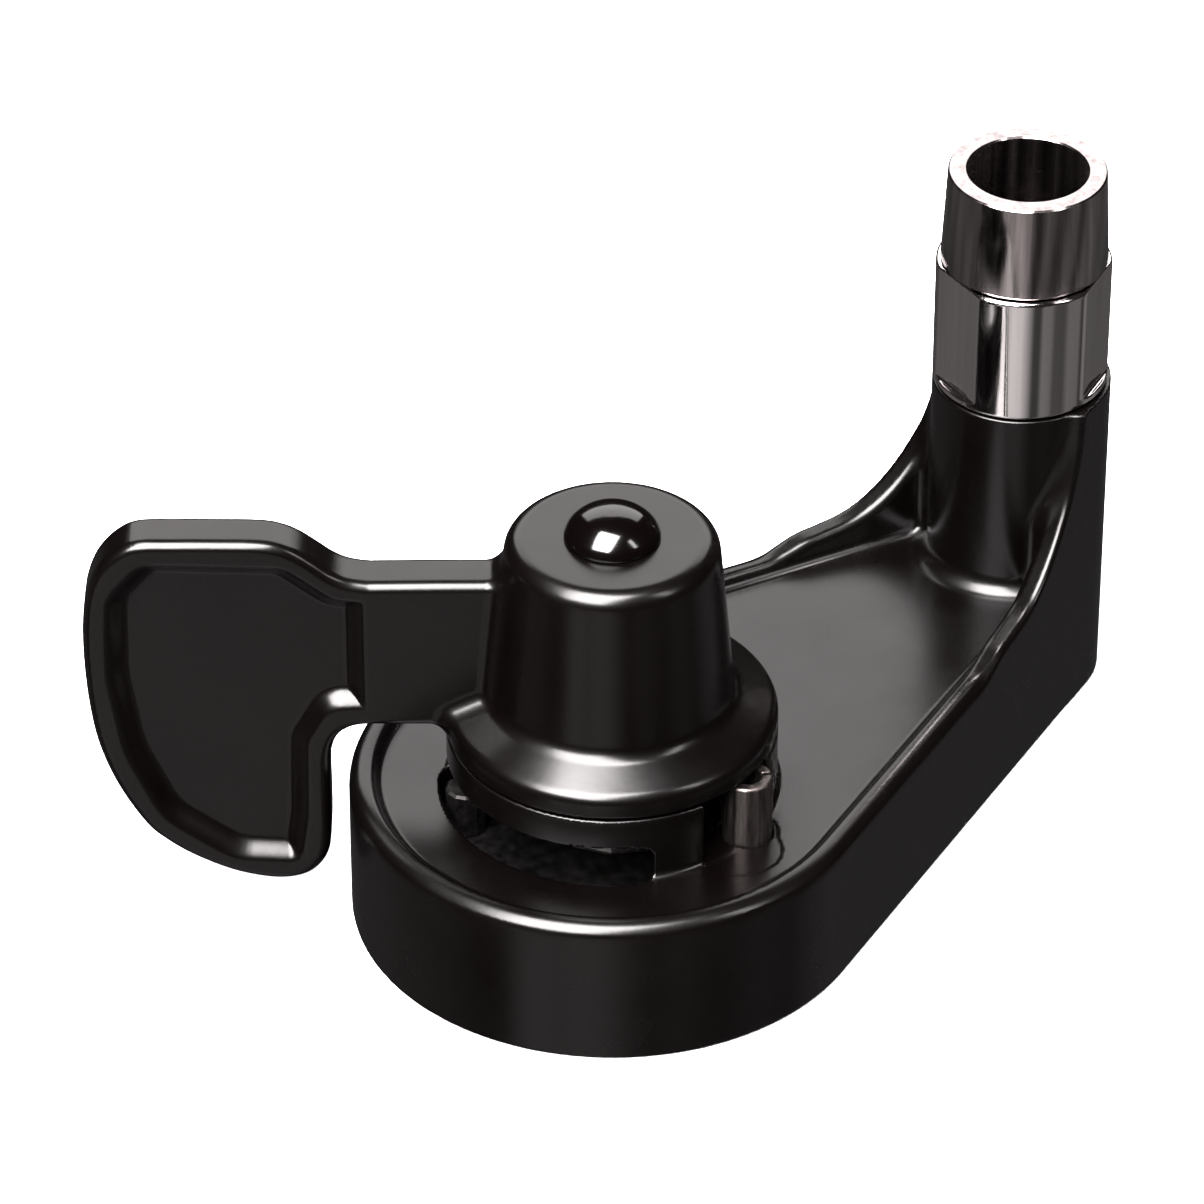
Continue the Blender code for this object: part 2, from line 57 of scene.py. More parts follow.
def r_union(a, b, r):
    return np.maximum(r, np.minimum(a, b)) - np.sqrt(np.maximum(r - a, 0) ** 2 + np.maximum(r - b, 0) ** 2)


def r_inter(a, b, r):
    return np.minimum(-r, np.maximum(a, b)) + np.sqrt(np.maximum(r + a, 0) ** 2 + np.maximum(r + b, 0) ** 2)


def r_cut(a, b, r):
    return r_inter(a, -b, r)


def ss(t):
    t = np.clip(t, 0, 1)
    return t * t * (3 - 2 * t)


def hull2(x, y, r1, r2, h=MAST_X):
    """Signed distance to the convex outline round two circles."""
    y = np.abs(y)
    b = (r1 - r2) / h
    a = math.sqrt(1 - b * b)
    k = -b * y + a * x
    d = a * y + b * x - r1
    d = np.where(k < 0, np.sqrt(x * x + y * y) - r1, d)
    return np.where(k > a * h, np.sqrt((x - h) ** 2 + y * y) - r2, d)


def fillet(pts, n=8):
    """Closed outline from (x, y, corner radius)."""
    out = []
    m = len(pts)
    for i in range(m):
        p = np.array(pts[i][:2], float)
        a = np.array(pts[i - 1][:2], float) - p
        b = np.array(pts[(i + 1) % m][:2], float) - p
        r = pts[i][2] if len(pts[i]) > 2 else 0
        la, lb = np.linalg.norm(a), np.linalg.norm(b)
        a, b = a / la, b / lb
        ang = math.acos(max(-1, min(1, float(a @ b))))
        if r <= 0 or abs(math.pi - ang) < 1e-3:
            out.append(p)
            continue
        t = min(r / math.tan(ang / 2), la * 0.5, lb * 0.5)
        r = t * math.tan(ang / 2)
        c = p + (a + b) / np.linalg.norm(a + b) * (r / math.sin(ang / 2))
        s, e = p + a * t - c, p + b * t - c
        a0 = math.atan2(s[1], s[0])
        da = (math.atan2(e[1], e[0]) - a0 + math.pi) % (2 * math.pi) - math.pi
        k = max(2, int(abs(da) / math.radians(90) * n * 2))
        for j in range(k + 1):
            q = a0 + da * j / k
            out.append(c + r * np.array([math.cos(q), math.sin(q)]))
    return np.array(out)


def spline(pts, n=6, closed=True):
    """Smooth curve through points (centripetal-free Catmull-Rom)."""
    p = np.array(pts, float)
    m = len(p)
    out = []
    for i in range(m if closed else m - 1):
        p0, p1, p2, p3 = (p[(i - 1) % m], p[i], p[(i + 1) % m], p[(i + 2) % m]) if closed else \
            (p[max(i - 1, 0)], p[i], p[i + 1], p[min(i + 2, m - 1)])
        for j in range(n):
            t = j / n
            out.append(0.5 * ((2 * p1) + (p2 - p0) * t + (2 * p0 - 5 * p1 + 4 * p2 - p3) * t * t
                              + (3 * p1 - p0 - 3 * p2 + p3) * t ** 3))
    if not closed:
        out.append(p[-1])
    return np.array(out)


class Field2:
    """Signed distance to a closed outline (negative inside), kept on a grid and
    read back with a cubic B-spline, so that its gradient is smooth."""

    def __init__(self, poly, lo, hi, h=0.4):
        self.lo, self.h = np.array(lo, float) - 3 * h, h
        n = np.ceil((np.array(hi) - self.lo) / h).astype(int) + 5
        gx, gy = np.meshgrid(self.lo[0] + h * np.arange(n[0]), self.lo[1] + h * np.arange(n[1]), indexing='ij')
        d2 = np.full(gx.shape, 1e12)
        inside = np.zeros(gx.shape, bool)
        a = poly
        b = np.roll(poly, -1, axis=0)
        for (ax, ay), (bx, by) in zip(a, b):
            ex, ey = bx - ax, by - ay
            L = ex * ex + ey * ey
            if L < 1e-12:
                continue
            wx, wy = gx - ax, gy - ay
            t = np.clip((wx * ex + wy * ey) / L, 0, 1)
            d2 = np.minimum(d2, (wx - ex * t) ** 2 + (wy - ey * t) ** 2)
            c = (ay <= gy) != (by <= gy)
            if abs(ey) > 1e-12:
                inside ^= c & (gx < ax + ex * (gy - ay) / ey)
        self.v = np.sqrt(d2) * np.where(inside, -1, 1)

    def __call__(self, x, y):
        n0, n1 = self.v.shape
        fx = np.clip((x - self.lo[0]) / self.h, 1.001, n0 - 3.001)
        fy = np.clip((y - self.lo[1]) / self.h, 1.001, n1 - 3.001)
        ix, iy = fx.astype(np.int64), fy.astype(np.int64)
        tx, ty = fx - ix, fy - iy

        def w(t):
            return ((1 - t) ** 3 / 6, (3 * t ** 3 - 6 * t * t + 4) / 6, (-3 * t ** 3 + 3 * t * t + 3 * t + 1) / 6, t ** 3 / 6)
        wx, wy = w(tx), w(ty)
        out = 0
        flat = self.v.ravel()
        for i in range(4):
            row = 0
            for j in range(4):
                row = row + wy[j] * flat[(ix + i - 1) * n1 + iy + j - 1]
            out = out + wx[i] * row
        return out


CORNERS = np.array([(i, j, k) for i in (0, 1) for j in (0, 1) for k in (0, 1)])
EDGES = [(a, b) for a in range(8) for b in range(a + 1, 8) if abs(CORNERS[a] - CORNERS[b]).sum() == 1]


def gradient(fn, p, e=0.02):
    g = np.empty_like(p)
    for ax in range(3):
        q = p.copy()
        q[:, ax] += e
        r = p.copy()
        r[:, ax] -= e
        g[:, ax] = (fn(*q.T) - fn(*r.T)) / (2 * e)
    return g


def surface(fn, lo, hi, h, B=8):
    """Surface nets over the blocks that the surface passes through."""
    lo = np.array(lo, float)
    n = np.ceil((np.array(hi, float) - lo) / (h * B)).astype(int) + 1
    bi = np.stack(np.meshgrid(*[np.arange(k) for k in n], indexing='ij'), -1).reshape(-1, 3)
    d = fn(*(lo + (bi + 0.5) * h * B).T)
    bi = bi[np.abs(d) < h * B * 1.15]
    loc = np.stack(np.meshgrid(*[np.arange(B + 1)] * 3, indexing='ij'), -1).reshape(-1, 3)
    V = np.empty((len(bi), B + 1, B + 1, B + 1))
    step = 400
    for s in range(0, len(bi), step):
        b = bi[s:s + step]
        p = (lo + (b[:, None, :] * B + loc[None]) * h).reshape(-1, 3)
        V[s:s + step] = fn(*p.T).reshape(len(b), B + 1, B + 1, B + 1)
    V = np.where(np.abs(V) < 1e-7, 1e-7, V)
    S = V < 0
    N = n * B + 2
    corner = [S[:, i:i + B, j:j + B, k:k + B] for i, j, k in CORNERS]
    count = sum(c.astype(np.int8) for c in corner)
    act = np.argwhere((count > 0) & (count < 8))
    blk, c = act[:, 0], act[:, 1:]
    vals = np.stack([V[blk, c[:, 0] + i, c[:, 1] + j, c[:, 2] + k] for i, j, k in CORNERS], 1)
    acc = np.zeros((len(act), 3))
    cnt = np.zeros(len(act))
    for a, b in EDGES:
        va, vb = vals[:, a], vals[:, b]
        m = (va < 0) != (vb < 0)
        t = np.where(m, va / np.where(m, va - vb, 1), 0)
        acc += np.where(m[:, None], CORNERS[a] + t[:, None] * (CORNERS[b] - CORNERS[a]), 0)
        cnt += m
    g = bi[blk] * B + c
    pos = lo + (g + acc / cnt[:, None]) * h
    ids = (g[:, 0] * N[1] + g[:, 1]) * N[2] + g[:, 2]
    order = np.argsort(ids)
    ids, pos = ids[order], pos[order]
    for _ in range(3):
        v = fn(*pos.T)
        gr = gradient(fn, pos)
        l2 = np.maximum((gr ** 2).sum(1), 0.25)
        mv = gr * (v / l2)[:, None]
        ln = np.linalg.norm(mv, axis=1)
        mv *= np.minimum(1, 0.45 * h / np.maximum(ln, 1e-9))[:, None]
        pos = pos - mv
    quads = []
    around = {0: [(0, -1, -1), (0, 0, -1), (0, 0, 0), (0, -1, 0)],
              1: [(-1, 0, -1), (-1, 0, 0), (0, 0, 0), (0, 0, -1)],
              2: [(-1, -1, 0), (0, -1, 0), (0, 0, 0), (-1, 0, 0)]}
    for ax in range(3):
        e = [0, 0, 0]
        e[ax] = 1
        s0 = S[:, :B, :B, :B]
        s1 = S[:, e[0]:B + e[0], e[1]:B + e[1], e[2]:B + e[2]]
        k = np.argwhere(s0 != s1)
        gp = bi[k[:, 0]] * B + k[:, 1:]
        first = s0[k[:, 0], k[:, 1], k[:, 2], k[:, 3]]
        q = []
        ok = np.ones(len(k), bool)
        for o in around[ax]:
            cc = gp + np.array(o)
            i = (cc[:, 0] * N[1] + cc[:, 1]) * N[2] + cc[:, 2]
            w = np.clip(np.searchsorted(ids, i), 0, len(ids) - 1)
            ok &= ids[w] == i
            q.append(w)
        q = np.stack(q, 1)
        q = np.where(first[:, None], q, q[:, ::-1])
        quads.append(q[ok])
    quads = np.concatenate(quads)
    gr = gradient(fn, pos)
    nrm = gr / np.maximum(np.linalg.norm(gr, axis=1), 1e-9)[:, None]
    return pos, quads, nrm


def to_object(name, pos, quads, nrm, matrix=None):
    me = bpy.data.meshes.new(name)
    me.vertices.add(len(pos))
    me.vertices.foreach_set("co", (pos * MM).astype(np.float32).ravel())
    me.loops.add(len(quads) * 4)
    me.loops.foreach_set("vertex_index", quads.astype(np.int32).ravel())
    me.polygons.add(len(quads))
    me.polygons.foreach_set("loop_start", np.arange(0, len(quads) * 4, 4, dtype=np.int32))
    me.polygons.foreach_set("loop_total", np.full(len(quads), 4, np.int32))
    me.update(calc_edges=True)
    me.polygons.foreach_set("use_smooth", np.ones(len(quads), bool))
    if matrix is not None:
        me.transform(matrix)
        r = np.array(matrix.to_3x3())
        nrm = nrm @ r.T
    me.normals_split_custom_set_from_vertices(nrm.tolist())
    ob = bpy.data.objects.new(name, me)
    bpy.context.scene.collection.objects.link(ob)
    return ob


def turned(name, outline, steps=96, axis=(0, 0), z0=0.0, sharp=38):
    """Solid of revolution from a closed (radius, height) outline in mm."""
    me = bpy.data.meshes.new(name)
    bm = bmesh.new()
    rings = []
    for r, z in outline:
        if r < 1e-4:
            rings.append([bm.verts.new((axis[0] * MM, axis[1] * MM, (z + z0) * MM))])
        else:
            rings.append([bm.verts.new(((axis[0] + r * math.cos(2 * math.pi * i / steps)) * MM,
                                        (axis[1] + r * math.sin(2 * math.pi * i / steps)) * MM, (z + z0) * MM))
                          for i in range(steps)])
    m = len(rings)
    for k in range(m):
        a, b = rings[k], rings[(k + 1) % m]
        if len(a) == 1 and len(b) == 1:
            continue
        for i in range(steps):
            j = (i + 1) % steps
            if len(a) == 1:
                bm.faces.new((a[0], b[i], b[j]))
            elif len(b) == 1:
                bm.faces.new((a[j], a[i], b[0]))
            else:
                bm.faces.new((a[i], b[i], b[j], a[j]))
    bmesh.ops.recalc_face_normals(bm, faces=bm.faces)
    bm.to_mesh(me)
    bm.free()
    me.shade_smooth()
    me.set_sharp_from_angle(angle=math.radians(sharp))
    ob = bpy.data.objects.new(name, me)
    bpy.context.scene.collection.objects.link(ob)
    return ob


# ================================================================ the base casting
SWEEP = spline([(80, 38.2), (88, 38.3), (93, 39.6), (98, 41.2), (104, 42.1), (109.5, 43.1), (114.7, 45.2), (120, 49.0),
                (125, 54.2), (129.0, 59.8), (132.0, 65.0), (134.3, 70.8), (136.1, 77.0), (137.2, 84.0), (138, 92.0),
                (138.4, 100.0)], 5, False)
rim_field = Field2(np.concatenate([[(-90, 10)], [(-90, RIM_Z)], SWEEP, [(190, 100), (190, 10)]]), (-80, 20), (175, 95), 0.5)

COVER_SCREWS = [(50 * math.cos(math.radians(a)), 50 * math.sin(math.radians(a))) for a in (65, 135, 225, 295)] \
    + [(98.0, 23.5), (98.0, -23.5)]


def cyl(x, y, cx, cy, r):
    return np.sqrt((x - cx) ** 2 + (y - cy) ** 2) - r


def slot2(x, y):
    """Distance to the curved slot's outline."""
    a = np.arctan2(y, x)
    mid = math.radians((SLOT_A0 + SLOT_A1) / 2)
    half = math.radians((SLOT_A1 - SLOT_A0) / 2)
    da = (a - mid + math.pi) % (2 * math.pi) - math.pi
    e0, e1 = mid - half, mid + half
    arc = np.abs(np.sqrt(x * x + y * y) - SLOT_MID)
    c0 = np.sqrt((x - SLOT_MID * math.cos(e0)) ** 2 + (y - SLOT_MID * math.sin(e0)) ** 2)
    c1 = np.sqrt((x - SLOT_MID * math.cos(e1)) ** 2 + (y - SLOT_MID * math.sin(e1)) ** 2)
    return np.where(np.abs(da) < half, arc, np.minimum(c0, c1)) - SLOT_HALF


def base_sdf(x, y, z):
    dh = hull2(x, y, HEAD_R, TAIL_R)
    top = rim_field(x, z)
    rr = 4.2 - 1.9 * ss((x - 84) / 14)
    block = r_inter(dh, top, rr)
    # tray: walls in by the rim's width, filleted into the floor
    tray = r_inter(dh + 6.6, TRAY_Z - z, 2.6)
    block = r_cut(block, tray, 2.0)
    # boss, pedestal and their fillets
    db = cyl(x, y, MAST_X, 0, BOSS_R)
    boss = r_inter(db, z - BOSS_Z, 0.8)
    body = r_union(block, boss, 5.0)
    body = r_inter(body, np.maximum(dh, z - BOSS_Z), 0.8)
    ped = r_inter(cyl(x, y, 0, 0, PED_R), z - PED_Z, 0.5)
    body = r_union(body, ped, 1.6)
    body = r_inter(body, -z, 0.8)
    # hollow underside, left full round the screw bosses and the pin boss
    space = np.maximum(hull2(x, y, 55.0, 15.5), z - ROOF_Z)
    posts = cyl(x, y, *COVER_SCREWS[0], 4.8)
    for c in COVER_SCREWS[1:]:
        posts = np.minimum(posts, cyl(x, y, *c, 4.8))
    pin_boss = np.maximum(cyl(x, y, PIN_X, PIN_Y, 9.0), 25.6 - z)
    wall = np.maximum(cyl(x, y, RELIEF_X, RELIEF_Y, 12.2), 29.0 - z)
    space = r_cut(space, np.minimum(posts, pin_boss), 1.0)
    well = np.maximum(cyl(x, y, 0, 0, PED_IN), z - 47.0)
    well = r_cut(np.maximum(well, 20 - z), np.minimum(pin_boss, wall), 1.0)
    hollow = np.minimum(space, well)
    hollow = np.minimum(hollow, np.maximum(hull2(x, y, 59.4, 18.7), z - 4.6))
    body = r_cut(body, hollow, 0.5)
    # openings
    slot = np.maximum(r_inter(slot2(x, y), z - SLOT_Z, 3.4), 22 - z)
    relief = r_union(cyl(x, y, PIN_X, PIN_Y, 7.4), cyl(x, y, RELIEF_X, RELIEF_Y, 10.0), 1.0)
    relief = r_inter(relief, np.maximum(34.75 - z, z - 60), 0.4)
    body = r_cut(body, relief, 0.6)
    body = r_cut(body, slot, 0.7)
    bores = np.maximum(cyl(x, y, 0, 0, 12.3), 44 - z)
    bores = np.minimum(bores, np.maximum(cyl(x, y, MAST_X, 0, 15.8), 20 - z))
    bores = np.minimum(bores, np.maximum(cyl(x, y, MAST_X, 0, 17.6), 84.7 - z))
    bores = np.minimum(bores, np.maximum(cyl(x, y, PIN_X, PIN_Y, 6.3), 27.6 - z))
    for c in COVER_SCREWS:
        bores = np.minimum(bores, np.maximum(cyl(x, y, *c, 2.8), z - 18))
    return r_cut(body, bores, 0.35)


H_BASE = 0.72
base = to_object("base_shell", *surface(base_sdf, (-66, -66, -3), (164, 66, 90), H_BASE))

# ================================================================ the lever casting, along its own +X
hub_outline = fillet([(-20, 105.5), (25.1, 105.5, 4.6), (28.05, 73.0, 0), (28.9, 63.2, 5.0), (39.4, 57.7, 3.6),
                      (39.4, 52.3, 0.7), (-20, 52.3)], 10)
hub_field = Field2(hub_outline, (-6, 46), (48, 112), 0.3)
OUT = [(110.8, 107.0), (116.0, 104.2), (120.2, 99.2), (122.8, 92.6), (123.9, 85.0), (124.2, 75.0), (123.6, 62.2),
       (121.8, 49.4), (117.7, 36.9), (111.4, 25.3), (106.2, 19.9), (100.3, 15.7), (92.7, 11.8), (85.8, 9.6),
       (79.2, 8.8), (73.8, 9.8), (70.2, 12.4), (67.8, 16.6), (67.0, 22.5), (66.9, 31), (66.9, 40), (66.5, 46.5),
       (64.9, 51.2), (61.6, 53.8), (57, 54.6)]
TOP = [(57, 95.5), (61.4, 96.3), (65.2, 98.2), (69.2, 101.4), (73, 104.2), (77, 106.1), (82, 107.1), (92, 107.3),
       (102, 107.3)]
blade_poly = np.concatenate([[(12, 54.6), (12, 95.8), (40, 95.7)], spline(TOP + OUT, 5, False), [(40, 54.6)]])
blade_field = Field2(blade_poly, (8, 6), (128, 112), 0.4)
PANEL = fillet([(57.5, 91.6, 1), (65, 92.6, 5), (76.5, 101.6, 9), (110.0, 102.5, 9), (118.8, 92.0, 11), (119.4, 69, 30),
                (116.0, 47, 30), (107.4, 27.2, 18), (90.5, 15.0, 14), (73.6, 14.0, 4), (71.6, 28, 9), (71.2, 49.5, 5),
                (66.0, 59.2, 5), (57.5, 59.6, 1)], 8)
panel_field = Field2(PANEL, (40, 6), (128, 112), 0.4)
BLADE_T = 6.35


def lever_sdf(x, y, z):
    r = np.sqrt(x * x + y * y)
    hub = hub_field(r, z)
    dp = panel_field(x, z)
    # the panel sinks from the rim over a sloped, rounded wall
    deep = 3.5 * ss(-dp / 5.6)
    slab = (np.abs(y) - (BLADE_T - deep)) / 1.12
    blade = r_inter(blade_field(x, z), slab, 2.5)
    body = r_union(hub, blade, 4.2)
    body = np.where(x < 50, r_inter(body, 52.3 - z, 0.6), body)
    holes = np.maximum(r - 9.3, z - 88.0)
    holes = np.minimum(holes, np.maximum(r - 8.6, 92.0 - z))
    holes = np.minimum(holes, r - 4.4)
    holes = np.minimum(holes, np.maximum(r - 18.0, z - 53.9))
    key = np.maximum(np.maximum(np.abs(y) - 2.3, np.abs(x - 9.3) - 2.3), z - 86)
    holes = np.minimum(holes, key)
    return r_cut(body, holes, 0.25)


H_LEVER = 0.55
turn = Matrix.Rotation(math.radians(LEVER_A), 4, 'Z')
lever = to_object("lever_shell", *surface(lever_sdf, (-42, -42, 8), (127, 42, 110), H_LEVER), matrix=turn)

# ================================================================ turned and small pieces
DOME = spline([(0, 112.8), (2.6, 112.62), (5.0, 112.1), (7.2, 111.2), (9.0, 109.9), (10.4, 108.4), (11.15, 107.0),
               (11.4, 106.2), (11.3, 105.75)], 4, False)
dome = turned("dome_button", [tuple(q) for q in DOME] + [(11.0, 105.6), (8.2, 105.6), (8.2, 100.2), (7.4, 99.4),
                                                         (0, 99.4)], 80)


FLATS = (169.4, 289.4, 49.4)


def collar_sdf(x, y, z):
    x = x - MAST_X
    r = np.sqrt(x * x + y * y)
    body = r_inter(r - 21.5, np.maximum(z - 119.9, 86.35 - z), 0.9)
    flats = np.full(r.shape, -99.0)
    for a in FLATS:
        flats = np.maximum(flats, x * math.cos(math.radians(a)) + y * math.sin(math.radians(a)) - 19.9)
    body = r_cut(body, r_inter(-flats, 88.5 - z, 0.8), 0.35)
    body = np.minimum(body, np.maximum(r - 13.0, np.maximum(z - 90, 5.0 - z)))
    groove = np.maximum(11.4 - r, np.abs(z - 28.3) - 1.3)
    body = np.maximum(body, -groove)
    hole = np.minimum(r - 8.0, np.maximum(r - 17.6, 95 - z))
    return r_cut(body, hole, 0.4)


collar = to_object("collar_shell", *surface(collar_sdf, (115, -25, 3), (165, 25, 123), 0.5))
tube = turned("tube_shell", [(18.9, 145.0), (19.3, 144.6), (20.45, 120.9), (20.1, 120.3), (17.3, 120.3), (17.3, 95.6),
                             (14.6, 95.6), (14.6, 144.6), (15.0, 145.0)], 128, (MAST_X, 0))


def pin_sdf(x, y, z):
    x, y = x - PIN_X, y - PIN_Y
    r = np.sqrt(x * x + y * y)
    body = r_inter(r - 6.0, np.maximum(z - 51.2, 28.0 - z), 0.9)
    body = r_cut(body, r - 3.3, 0.5)
    # axial slit, rolled edges slightly rounded; it faces away from the hub's wall
    a = math.radians(-35)
    u, v = x * math.cos(a) + y * math.sin(a), -x * math.sin(a) + y * math.cos(a)
    slit = np.maximum(np.abs(v) - 0.45, -u)
    return r_cut(body, slit, 0.3)


pin = to_object("pin_shell", *surface(pin_sdf, (PIN_X - 7, PIN_Y - 7, 27), (PIN_X + 7, PIN_Y + 7, 53), 0.3))

# ================================================================ materials


def new_mat(name):
    m = bpy.data.materials.new(name)
    m.use_nodes = True
    t = m.node_tree
    return m, t, t.nodes["Principled BSDF"]


def noise(t, scale, detail=2.0, rough=0.5, stretch=None):
    n = t.nodes.new("ShaderNodeTexNoise")
    n.inputs["Scale"].default_value = scale
    n.inputs["Detail"].default_value = detail
    n.inputs["Roughness"].default_value = rough
    tc = t.nodes.new("ShaderNodeTexCoord")
    if stretch:
        mp = t.nodes.new("ShaderNodeMapping")
        mp.inputs["Scale"].default_value = stretch
        t.links.new(tc.outputs["Object"], mp.inputs["Vector"])
        t.links.new(mp.outputs["Vector"], n.inputs["Vector"])
    else:
        t.links.new(tc.outputs["Object"], n.inputs["Vector"])
    return n.outputs["Fac"]


def remap(t, v, a, b, lo=0.3, hi=0.7):
    n = t.nodes.new("ShaderNodeMapRange")
    n.inputs["From Min"].default_value = lo
    n.inputs["From Max"].default_value = hi
    n.inputs["To Min"].default_value = a
    n.inputs["To Max"].default_value = b
    t.links.new(v, n.inputs["Value"])
    return n.outputs["Result"]


def mix_col(t, fac, a, b):
    n = t.nodes.new("ShaderNodeMix")
    n.data_type = 'RGBA'
    n.inputs["A"].default_value = (*a, 1)
    n.inputs["B"].default_value = (*b, 1)
    t.links.new(fac, n.inputs["Factor"])
    return n.outputs["Result"]


def bump(t, height, strength, dist, normal=None):
    n = t.nodes.new("ShaderNodeBump")
    n.inputs["Strength"].default_value = strength
    n.inputs["Distance"].default_value = dist
    t.links.new(height, n.inputs["Height"])
    if normal is not None:
        t.links.new(normal, n.inputs["Normal"])
    return n.outputs["Normal"]


def enamel(name, tone=1.0, rough=(0.22, 0.28), level=0.30):
    m, t, b = new_mat(name)
    cloud = noise(t, 22, 3)
    t.links.new(mix_col(t, remap(t, cloud, 0, 1), (0.00036 * tone, 0.00016 * tone, 0.00016 * tone),
                        (0.00060 * tone, 0.00030 * tone, 0.00030 * tone)), b.inputs["Base Color"])
    t.links.new(remap(t, noise(t, 60, 4), *rough), b.inputs["Roughness"])
    peel = bump(t, noise(t, 520, 1.5), 0.05, 0.0002)
    cast = bump(t, noise(t, 95, 1.0), 0.05, 0.0006, peel)
    t.links.new(cast, b.inputs["Normal"])
    b.inputs["Specular IOR Level"].default_value = level
    return m


def metal(name, a, b_, rough, streak, strength=0.05, scale=300.0):
    m, t, b = new_mat(name)
    b.inputs["Metallic"].default_value = 1.0
    lines = noise(t, scale, 3, 0.6, streak)
    t.links.new(mix_col(t, remap(t, lines, 0, 1), a, b_), b.inputs["Base Color"])
    t.links.new(remap(t, lines, *rough), b.inputs["Roughness"])
    t.links.new(bump(t, lines, strength, 0.0002), b.inputs["Normal"])
    return m


BASE_M = enamel("base_enamel_look")
LEVER_M = enamel("lever_enamel_look", 1.0, (0.21, 0.26))
CAP_M = enamel("cap_look", 1.0, (0.10, 0.15), 0.45)
CHROME_M = metal("chrome_look", (0.20, 0.175, 0.175), (0.40, 0.36, 0.36), (0.12, 0.20), (1, 1, 0.02), 0.10, 380)
COLLAR_M = metal("collar_look", (0.66, 0.62, 0.62), (0.78, 0.74, 0.74), (0.05, 0.10), (1, 1, 0.05), 0.02, 300)
PIN_M = metal("pin_look", (0.045, 0.038, 0.037), (0.12, 0.105, 0.10), (0.32, 0.48), (1, 1, 0.08), 0.15, 700)
STEEL_M = metal("steel_look", (0.36, 0.35, 0.34), (0.46, 0.44, 0.43), (0.28, 0.42), (1, 0.1, 1), 0.08, 500)
ZINC_M = metal("zinc_look", (0.52, 0.52, 0.50), (0.64, 0.64, 0.61), (0.30, 0.42), (1, 1, 1), 0.06, 160)
BRONZE_M = metal("bronze_look", (0.42, 0.27, 0.12), (0.54, 0.36, 0.18), (0.32, 0.45), (1, 1, 0.2), 0.08, 600)
WIRE_M = metal("spring_look", (0.14, 0.135, 0.135), (0.24, 0.23, 0.23), (0.28, 0.4), (1, 1, 1), 0.08, 500)


def gasket_mat():
    m, t, b = new_mat("gasket_look")
    t.links.new(mix_col(t, noise(t, 200, 3), (0.012, 0.012, 0.012), (0.03, 0.03, 0.03)), b.inputs["Base Color"])
    b.inputs["Roughness"].default_value = 0.75
    t.links.new(bump(t, noise(t, 900, 2), 0.2, 0.0001), b.inputs["Normal"])
    return m


RUBBER_M = gasket_mat()
# painted shade: a near-black metal finish that stands in for the shade down in the slot, so the parts there read dark
PAINTED_SHADE_M = metal("slot_shade_dark_look", (0.012, 0.011, 0.011), (0.03, 0.028, 0.028), (0.45, 0.6), (1, 1, 1), 0.1, 400)

LOOK = {"base_enamel": BASE_M, "lever_enamel": LEVER_M, "cap_black": CAP_M, "chrome": CHROME_M, "bronze": BRONZE_M,
        "gasket_rubber": RUBBER_M, "spring_steel": WIRE_M, "zinc": ZINC_M, "pin_steel": PIN_M, "steel": STEEL_M}
for sub in frame["record"]["subparts"]:
    ob = frame["nodes"].get(sub["node"])
    if ob is None:
        continue
    if not ob.material_slots:
        ob.data.materials.append(LOOK[sub["material_slot"]])
    for s in ob.material_slots:
        # the stop peg, cam disc and cam clip get the painted-shade near-black finish in place of their own material
        s.material = PAINTED_SHADE_M if sub["node"] in ("stop_peg", "cam_disc", "cam_clip") else LOOK[sub["material_slot"]]


def place(ob, mat, body, node):
    ob.data.materials.append(mat)
    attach(ob, body)
    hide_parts(node)


place(base, BASE_M, "base", "base_casting")
place(lever, LEVER_M, "lever", "paddle_lever")
place(dome, CAP_M, "lever", "dome_cap")
place(collar, COLLAR_M, "mast", "mast_collar")
place(tube, CHROME_M, "mast", "mast_tube")
place(pin, PIN_M, "base", "stop_pin")

# ================================================================ camera, at the photograph's viewing angle
el, az = math.radians(35.5), math.radians(-44.3)
U = Vector((math.cos(az), math.sin(az), 0))
Vw = Vector((-math.sin(az), math.cos(az), 0))
W = Vw * math.sin(el) + Vector((0, 0, math.cos(el)))
D = Vw * math.cos(el) - Vector((0, 0, math.sin(el)))
target = Vector((0, 0, TRAY_Z * MM)) + U * (-2.4 * MM) + W * (42.2 * MM)
cam_data = bpy.data.cameras.new("camera")
cam_data.lens = 7000.0 / 1204.0 * 36.0
cam_data.sensor_width = 36.0
cam_data.clip_end = 50
cam = bpy.data.objects.new("camera", cam_data)
bpy.context.scene.collection.objects.link(cam)
m = Matrix((U, W, -D)).transposed().to_4x4()
m.translation = target - D * 1.670
cam.matrix_world = m
bpy.context.scene.camera = cam

# ================================================================ floor, world and lights
bpy.ops.mesh.primitive_plane_add(size=6.0, location=(0, 0, -0.0004))
floor = bpy.context.object
floor.name = "floor"
fm, ft, fb = new_mat("floor_look")
ft.links.new(mix_col(ft, noise(ft, 3, 2), (0.93, 0.925, 0.925), (0.95, 0.945, 0.945)), fb.inputs["Base Color"])
fb.inputs["Roughness"].default_value = 0.9
fb.inputs["Specular IOR Level"].default_value = 0.0
floor.data.materials.append(fm)
floor.visible_glossy = False

world = bpy.data.worlds.new("studio")
bpy.context.scene.world = world
world.use_nodes = True
wt = world.node_tree
bg = wt.nodes["Background"]


def wnode(kind, **kw):
    n = wt.nodes.new(kind)
    for k, v in kw.items():
        setattr(n, k, v)
    return n


lp = wnode("ShaderNodeLightPath")
tc = wnode("ShaderNodeTexCoord")
mp = wnode("ShaderNodeMapping")
mp.inputs["Rotation"].default_value = (0, 0, -az)
wt.links.new(tc.outputs["Generated"], mp.inputs["Vector"])
gr = wnode("ShaderNodeTexGradient", gradient_type='RADIAL')
wt.links.new(mp.outputs["Vector"], gr.inputs["Vector"])
